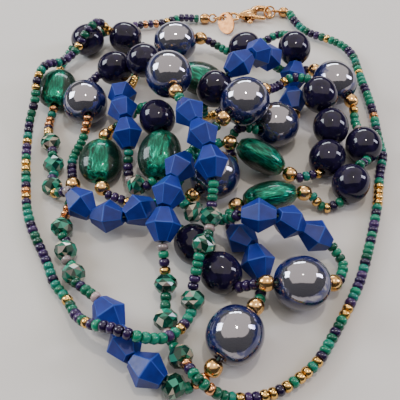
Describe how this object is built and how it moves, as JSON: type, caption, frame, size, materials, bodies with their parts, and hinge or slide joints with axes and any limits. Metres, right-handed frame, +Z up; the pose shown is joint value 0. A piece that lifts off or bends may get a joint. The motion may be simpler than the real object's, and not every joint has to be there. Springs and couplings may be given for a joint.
{
  "type": "beaded necklace",
  "caption": "Long rope necklace of round, oval, faceted and seed glass beads, lying in a heap and closed with a lobster clasp.",
  "frame": {"origin": "middle of the heap's box, on the surface that it lies on", "axes": "+Z up from that surface, +Y from the near beads to the clasp, +X to the right seen with the clasp at the far side"},
  "size_m": [0.104, 0.1408, 0.0243],
  "materials": {
    "lustre_glass": "navy glass with a silvery lustre",
    "navy_glass": "glossy navy",
    "foil_glass": "emerald glass over foil",
    "cobalt_glass": "satin cobalt, faceted",
    "seed_glass": "mixed green, purple and gold seed beads",
    "gold_metal": "polished"
  },
  "bodies": {
    "necklace": {"lustre_bead_01": "lustre_glass", "lustre_bead_02": "lustre_glass", "lustre_bead_03": "lustre_glass", "lustre_bead_04": "lustre_glass", "lustre_bead_05": "lustre_glass", "lustre_bead_06": "lustre_glass", "lustre_bead_07": "lustre_glass", "lustre_bead_08": "lustre_glass", "lustre_bead_09": "lustre_glass", "navy_bead_01": "navy_glass", "navy_bead_02": "navy_glass", "navy_bead_03": "navy_glass", "navy_bead_04": "navy_glass", "navy_bead_05": "navy_glass", "navy_bead_06": "navy_glass", "navy_bead_07": "navy_glass", "navy_bead_08": "navy_glass", "navy_bead_09": "navy_glass", "navy_bead_10": "navy_glass", "navy_bead_11": "navy_glass", "navy_bead_12": "navy_glass", "navy_bead_13": "navy_glass", "navy_bead_14": "navy_glass", "navy_bead_15": "navy_glass", "foil_oval_01": "foil_glass", "foil_oval_02": "foil_glass", "foil_oval_03": "foil_glass", "foil_oval_04": "foil_glass", "foil_oval_05": "foil_glass", "foil_oval_06": "foil_glass", "bicone_run_01": "cobalt_glass", "bicone_run_02": "cobalt_glass", "bicone_run_03": "cobalt_glass", "bicone_run_04": "cobalt_glass", "bicone_run_05": "cobalt_glass", "bicone_run_06": "cobalt_glass", "bicone_run_07": "cobalt_glass", "bicone_run_08": "cobalt_glass", "bicone_run_09": "cobalt_glass", "strand_01": "seed_glass", "strand_02": "seed_glass", "strand_03": "seed_glass", "strand_04": "seed_glass", "strand_05": "seed_glass", "strand_06": "seed_glass", "strand_07": "seed_glass", "strand_08": "seed_glass", "strand_09": "seed_glass", "clasp_body": "gold_metal", "link_left_1": "gold_metal", "link_left_2": "gold_metal", "link_right": "gold_metal", "cap_left": "gold_metal", "cap_right": "gold_metal", "tag": "gold_metal"},
    "lever": {"clasp_lever": "gold_metal"}
  },
  "joints": [
    {"name": "lever_hinge", "type": "hinge", "parent": "necklace", "child": "lever", "pos_m": [0.016, 0.06517, 0.00175], "axis": [0, 0, 1], "range_deg": [0, 12], "stiffness_Nm_per_rad": 0.002}
  ]
}
